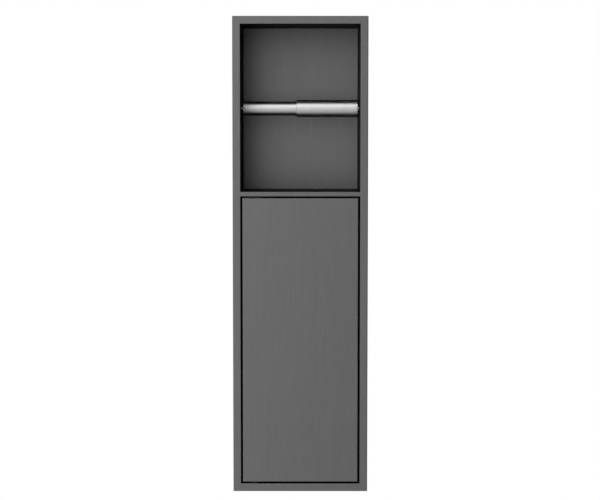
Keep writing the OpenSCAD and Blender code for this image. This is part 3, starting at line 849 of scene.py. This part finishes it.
# Painted shade: the hinge's bushes nearly black, as dark as the door gap
bearing_nylon_painted_shade = moulded("bearing_nylon_painted_shade", (0.012, 0.012, 0.013), 0.60, shine=0.2)
grey_nylon = moulded("grey_nylon", (0.35, 0.36, 0.37), 0.42, worn=0.2)
soft_clear = clear_soft("clear_rubber")
magnet_face = ferrite("ferrite_magnet")
print("plastics ready")

# %% [markdown]
# ## Dressing the solid model
#
# Each piece of the solid model gets the finish of what it is made from. Most follow their
# material slot. A few that share a slot differ in the way they were brushed, and the hinge's plate,
# pins and bushes carry painted shade, so they are named.

# %% Finishes on the pieces of the solid model
BY_SLOT = {
    "gunmetal": front_steel,
    "dark_steel": dark_bracket,
    "bright_steel": socket_steel,
    "spring_steel": wire_steel,
    "zinc_plate": zinc,
    "black_nylon": black_nylon,
    "grey_nylon": grey_nylon,
    "clear_rubber": soft_clear,
    "magnet": magnet_face,
}
BY_PIECE = {
    "housing_wrap": wrap_steel,
    "top_cap": cap_steel,
    "bottom_cap": cap_steel,
    "divider_shelf": divider_steel,
    "door_skin": door_steel,
    "door_backer": dark_sheet,
    "upper_pivot_plate": black_plate_painted_shade,
    "upper_pivot_bush": bearing_nylon_painted_shade,
    "lower_pivot_bush": bearing_nylon_painted_shade,
    "spindle_sleeve": spindle_steel,
    "sleeve_end_cap": spindle_steel,
    "inner_tube": spindle_steel,
    "inner_end_plug": spindle_steel,
    "pivot_pin_upper": pin_steel_painted_shade,
    "pivot_pin_lower": pin_steel_painted_shade,
}


def dress(piece, material):
    """Gives a piece one finish in place of the plain one it came with."""
    piece.data.materials.clear()
    piece.data.materials.append(material)


for facts in frame["record"]["subparts"]:
    node = facts["node"]
    dress(parts[node], BY_PIECE.get(node, BY_SLOT[facts["material_slot"]]))

# %% [markdown]
# ## Surfaces from numbers
#
# The new pieces are surfaces worked out with numpy. Each is a grid of points: one direction of
# the grid runs along the shape and the other round it, and every point is a formula of the two.
# Whole arrays are computed at once, neighbours in the grid become four-cornered faces, and the
# grid itself is the UV map. The last column lies on the first and a pole is a whole row in one
# place, so the doubles are merged, which closes the seam and the ends.

# %% From a grid to a piece
SHARP_EDGE = math.radians(40)
SAME_PLACE = 1e-7


def skin(points):
    """Corners, faces and flat map of a grid of points, as arrays. A face joins two neighbours in
    one row to the two beside them in the next."""
    rows, columns = points.shape[:2]
    number = np.arange(rows * columns).reshape(rows, columns)
    faces = np.stack((number[:-1, :-1], number[:-1, 1:], number[1:, 1:], number[1:, :-1]), axis=-1)
    round_it, along_it = np.meshgrid(np.linspace(0, 1, columns), np.linspace(0, 1, rows))
    flat = np.stack((round_it, along_it), axis=-1)
    return points.reshape(-1, 3), faces.reshape(-1, 4), flat.reshape(-1, 2)


def close_up(mesh):
    """Merges seams and poles, points all faces outwards and smooths all but sharp edges."""
    work = bmesh.new()
    work.from_mesh(mesh)
    bmesh.ops.remove_doubles(work, verts=work.verts, dist=SAME_PLACE)
    bmesh.ops.recalc_face_normals(work, faces=work.faces)
    work.to_mesh(mesh)
    work.free()
    mesh.shade_smooth()
    mesh.set_sharp_from_angle(angle=SHARP_EDGE)


def make_piece(name, grids, body, material, stands_for=()):
    """One piece from one or more closed grids, on its body, with its finish."""
    corners, faces, flats, start = [], [], [], 0
    for grid in grids:
        points, squares, flat = skin(grid)
        corners.append(points)
        faces.append(squares + start)
        flats.append(flat)
        start += len(points)
    mesh = bpy.data.meshes.new(name)
    mesh.from_pydata(np.concatenate(corners).tolist(), [], np.concatenate(faces).tolist())
    used = np.concatenate(faces).ravel()
    mesh.uv_layers.new(name="UVMap").data.foreach_set("uv", np.concatenate(flats)[used].ravel())
    close_up(mesh)
    mesh.materials.append(material)
    piece = bpy.data.objects.new(name, mesh)
    bpy.context.scene.collection.objects.link(piece)
    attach(piece, body)
    if stands_for:
        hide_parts(*stands_for)
    print(name, len(mesh.polygons), "faces,", len(mesh.vertices), "corners")
    return piece


def lay(points, axis, place):
    """Turns a shape made along Z so that it lies along another axis, and moves it to its place."""
    order = {X: (2, 0, 1), Y: (1, 2, 0), Z: (0, 1, 2)}[axis]
    return points[..., order] + np.array(place, float)


def smooth(value):
    """0 below 0, 1 above 1, and an S-shaped step between: 3t² - 2t³."""
    t = np.clip(value, 0, 1)
    return t * t * (3 - 2 * t)


print("grid helpers ready")

# %% [markdown]
# ## The two springs
#
# The spindle is pushed apart by a long compression spring, and a short stiff one returns the
# latch's plunger. A real one isn't a plain helix. Its last turns lie flat on each other and are
# ground square, so that it pushes evenly, and only the turns between are open. So the climb per
# turn changes along the wire, the height is its running sum, and the ring of points round the
# wire is cut off flat at both ends.

# %% Springs with closed, ground ends
# In turns: how long each end stays closed, and how long it takes to open
CLOSED_END = 0.7
OPENING = 0.8
# In wire thicknesses: the step of a closed turn, and how far the first turn's middle lies in
CLOSED_STEP = 1.04
GROUND = 0.2


def running_sum(rate, turn):
    """Total so far of a rate per turn: each stretch's mean rate times its length, added up."""
    return np.concatenate(([0], np.cumsum((rate[1:] + rate[:-1]) / 2 * np.diff(turn))))


def spring(length, radius, wire, curls, per_curl=40, sides=12):
    """Compression spring along Z. The climb per turn is one wire thickness at each end and a
    wider step between, and the height of the wire's middle is its running sum. At each step a
    circle of points is drawn round the wire, along the radius and along the radius crossed with
    the wire's direction. Points past either end are pulled back to it, as grinding does."""
    turn = np.linspace(0, curls, curls * per_curl + 1)
    openness = smooth((np.minimum(turn, curls - turn) - CLOSED_END) / OPENING)
    closed_step, ground = CLOSED_STEP * wire, GROUND * wire
    share = running_sum(openness, turn)[-1]
    climb = length - 2 * ground - closed_step * (curls - share)
    step = closed_step * (1 - openness) + climb / share * openness
    rise = running_sum(step, turn) + ground
    angle = 2 * np.pi * turn
    outward = np.stack((np.cos(angle), np.sin(angle), 0 * angle), axis=-1)
    ahead = np.stack((-np.sin(angle), np.cos(angle), step / (2 * np.pi * radius)), axis=-1)
    ahead /= np.linalg.norm(ahead, axis=-1, keepdims=True)
    upward = np.cross(outward, ahead)
    middle_line = radius * outward + rise[:, None] * np.array((0, 0, 1))
    side = np.linspace(0, 2 * np.pi, sides + 1)[None, :, None]
    ring = np.cos(side) * outward[:, None] + np.sin(side) * upward[:, None]
    tube = middle_line[:, None] + wire / 2 * ring
    middles = tube[[0, -1], :-1].mean(axis=1)
    first, last = (np.broadcast_to(point, (1, sides + 1, 3)) for point in middles)
    tube = np.concatenate((first, tube, last))
    tube[..., 2] = np.clip(tube[..., 2], 0, length)
    return tube


SPINDLE_SPRING = {"wire": 1.0 * MM, "curls": 12, "joint": "spindle_compress"}
LATCH_SPRING = {"wire": 0.8 * MM, "curls": 8, "joint": "latch_press"}


def add_spring(name, node, axis, body, wire, curls, joint):
    """Puts a spring where the solid model has it."""
    start, end = span(node, axis)
    low, high = span(node, (axis + 1) % 3)
    place = [middle(node, k) for k in range(3)]
    place[axis] = start
    grid = lay(spring(end - start, (high - low - wire) / 2, wire, curls), axis, place)
    piece = make_piece(name, [grid], body, wire_steel, (node,))
    place[axis] = end
    along(axis, 0, 1)
    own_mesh(piece)
    return piece


add_spring("spindle_coil_spring", "spindle_spring", X, "spindle_sleeve", **SPINDLE_SPRING)
add_spring("latch_coil_spring", "latch_spring", Y, "cabinet", **LATCH_SPRING)

# %% [markdown]
# ## Screws
#
# Four small self-tapping screws hold the hinge's bearing plate and the latch. Each is one closed
# surface: the rows start at the middle of the head, run over its dome, in under it and down the
# shank to the point. Two formulas give it its detail. The crossed recess is a depth that depends
# on the place on the head, and the thread is a ridge wherever the height in pitches and the angle
# in turns differ by a whole number.

# %% Screws with a crossed recess and a thread
ARM_HALF = 0.15
ARM_REACH = 0.62


def screw_head(radius, height, angle):
    """Rows over a pan head whose outline is 1 less the cube of the radius, to the power 0.45. The
    cross is where the smaller of |x| and |y| is under half an arm, and its floor rises outwards."""
    out = radius * np.sin(np.linspace(0, np.pi / 2, 40))[:, None]
    x, y = out * np.cos(angle), out * np.sin(angle)
    dome = height * (1 - (out / radius) ** 3) ** 0.45
    near, far = np.minimum(abs(x), abs(y)), np.maximum(abs(x), abs(y))
    wall = smooth((ARM_HALF * radius - near) / (0.06 * radius) + 0.5)
    floor_rise = np.clip(1 - far / (ARM_REACH * radius), 0, 1) ** 0.5
    return np.stack((x, y, 0.75 * height * wall * floor_rise - dome), axis=-1)


def screw_shank(radius, length, pitch, angle):
    """Rows down a thread: a sharp ridge on a core three quarters as thick, which begins under the
    head and narrows to a point over the last stretch."""
    height = np.linspace(0, length, 72)[:, None]
    turn = height / pitch - angle / (2 * np.pi)
    ridge = np.clip(1 - 2 * abs(2 * (turn % 1) - 1), 0, 1) * smooth(height / (0.5 * pitch))
    point = np.clip((length - height) / (1.6 * radius), 0, 1) ** 0.7
    out = point * radius * (0.76 + 0.24 * ridge)
    return np.stack((out * np.cos(angle), out * np.sin(angle), height + 0 * angle), axis=-1)


def screw(head_radius, head_height, radius, length, pitch, columns=72):
    """Screw along Z with its bearing face at 0, its head below it and its point above."""
    angle = np.linspace(0, 2 * np.pi, columns + 1)
    head = screw_head(head_radius, head_height, angle)
    return np.concatenate((head, screw_shank(radius, length, pitch, angle)))


HEAD_HEIGHT = 1.7 * MM
SCREW_RADIUS = 1.48 * MM
PITCH = 1.1 * MM


def add_screws(name, node, axis, apart_axis):
    """A pair of screws along one axis, one at each end of the pair's box along another."""
    start, end = span(node, axis)
    low, high = span(node, 3 - axis - apart_axis)
    head_radius = (high - low) / 2
    grid = screw(head_radius, HEAD_HEIGHT, SCREW_RADIUS, end - start - HEAD_HEIGHT, PITCH)
    first, last = span(node, apart_axis)
    grids = []
    for stand in (first + head_radius, last - head_radius):
        place = [middle(node, k) for k in range(3)]
        place[axis] = start + HEAD_HEIGHT
        place[apart_axis] = stand
        grids.append(lay(grid, axis, place))
    return make_piece(name, grids, "cabinet", zinc, (node,))


add_screws("bearing_plate_screws", "pivot_plate_screws", Z, X)
add_screws("latch_ear_screws", "latch_screws", X, Z)

# %% [markdown]
# ## Blind rivets
#
# The strike plate is riveted to the closed door, and nobody could reach the rivets' far ends
# there, so they are blind rivets: a domed flange with a hole, where the pulled pin broke off, and
# a bulb that it drew up behind. That is a turned shape, so its profile is a list of short arcs
# and lines in radius and height, carried round the axis.

# %% Rivets


def arc(centre_r, centre_z, radius, start, end, count=12):
    """Points of an arc in a profile, as radius and height, with angles in degrees from outwards."""
    angle = np.radians(np.linspace(start, end, count))
    return np.stack((centre_r + radius * np.cos(angle), centre_z + radius * np.sin(angle)), axis=-1)


def revolve(profile, columns=64):
    """A profile of radius and height carried round the Z axis."""
    angle = np.linspace(0, 2 * np.pi, columns + 1)
    out, height = profile[:, :1], profile[:, 1:]
    return np.stack((out * np.cos(angle), out * np.sin(angle), height + 0 * angle), axis=-1)


RIVET_FLANGE = 2.75 * MM
RIVET_SHANK = 1.55 * MM
RIVET_BULB = 2.35 * MM
RIVET_DOME = 1.3 * MM
PIN_HOLE = 0.85 * MM
HOLE_MOUTH = 0.35 * MM
HOLE_DEPTH = 0.8 * MM
STUB_EDGE = 0.55 * MM
STUB_TOP = 0.5 * MM
GRIP = 2.7 * MM


def rivet(low, high):
    """Rows from the bulb's middle up the outside to the flange, over its dome and down the hole to
    the stub of the broken pin."""
    under = high - RIVET_DOME
    curve = (RIVET_FLANGE**2 + RIVET_DOME**2) / (2 * RIVET_DOME)
    lip = math.degrees(math.asin(RIVET_FLANGE / curve))
    inner = math.degrees(math.asin(1.25 * PIN_HOLE / curve))
    bulb_r = (under - GRIP - low) / 2
    return np.concatenate((
        np.array([(0, low)]),
        arc(RIVET_BULB - bulb_r, low + bulb_r, bulb_r, -90, 90),
        np.array([(RIVET_SHANK, under - GRIP), (RIVET_SHANK, under)]),
        arc(0, high - curve, curve, 90 - lip, 90 - inner),
        np.array([(PIN_HOLE, high - HOLE_MOUTH), (PIN_HOLE, high - HOLE_DEPTH)]),
        np.array([(0.9 * PIN_HOLE, high - HOLE_DEPTH), (0.75 * PIN_HOLE, high - STUB_EDGE)]),
        np.array([(0, high - STUB_TOP)]),
    ))


low_y, high_y = span("strike_rivets", Y)
row_z = span("strike_rivets", Z)
shape = revolve(rivet(low_y, high_y))
stands = (row_z[0] + RIVET_FLANGE, row_z[1] - RIVET_FLANGE)
rivets = [lay(shape, Y, (middle("strike_rivets", X), 0, stand)) for stand in stands]
make_piece("blind_rivets", rivets, "door", zinc, ("strike_rivets",))

# %% [markdown]
# ## Weld beads behind the frame
#
# The box is welded into the back of the face frame by short beads, in a pocket 0.5 mm deep so that
# they stay clear of the wall. They can be seen from behind. A bead is a rounded corner fillet
# whose size swells and shrinks as the welder adds each drop, and the ripples it leaves are bent
# forward in the middle. It is one grid, round its section and along its length, and it closes to
# a point at each end.

# %% Stitch welds
BEAD_LEG = 1.7 * MM
BEAD_LENGTH = 18 * MM
BEAD_SINK = 0.15 * MM
RIPPLE = 1.1 * MM


def bead(corner, lengthwise, out, back):
    """Fillet in the corner between two faces. Its section is a circle cut off a little way inside
    both faces, swollen by ripples, whose phase is the length plus an arc of the angle, and scaled
    down at both ends by the root of 1 less the eighth power of the place."""
    place = np.linspace(-1, 1, 90)[:, None]
    angle = np.linspace(0, 2 * np.pi, 19)
    length = place * BEAD_LENGTH / 2
    facing = np.cos(angle - np.pi / 4)
    drop = abs(np.sin(np.pi * (length / RIPPLE + 0.45 * facing)))
    narrowing = np.sqrt(1 - place**8)
    size = BEAD_LEG * (0.56 + 0.07 * drop) * narrowing
    offset = 0.32 * BEAD_LEG * narrowing
    first = np.maximum(offset + size * np.cos(angle), -BEAD_SINK)
    second = np.maximum(offset + size * np.sin(angle), -BEAD_SINK)
    local = np.stack((length + 0 * angle, first, second), axis=-1)
    return np.array(corner, float) + local @ np.array((lengthwise, out, back), float)


UPRIGHT_WELDS = np.linspace(-240, 240, 5) * MM
LEVEL_WELDS = np.array((-45, 45)) * MM
beads = []
for side in (-1, 1):
    for height in UPRIGHT_WELDS:
        beads.append(bead((side * wall_out, box_front, height), (0, 0, 1), (side, 0, 0), (0, 1, 0)))
    for place in LEVEL_WELDS:
        beads.append(bead((place, box_front, side * cap_top), (1, 0, 0), (0, 0, side), (0, 1, 0)))
make_piece("frame_weld_beads", beads, "cabinet", bead_steel)
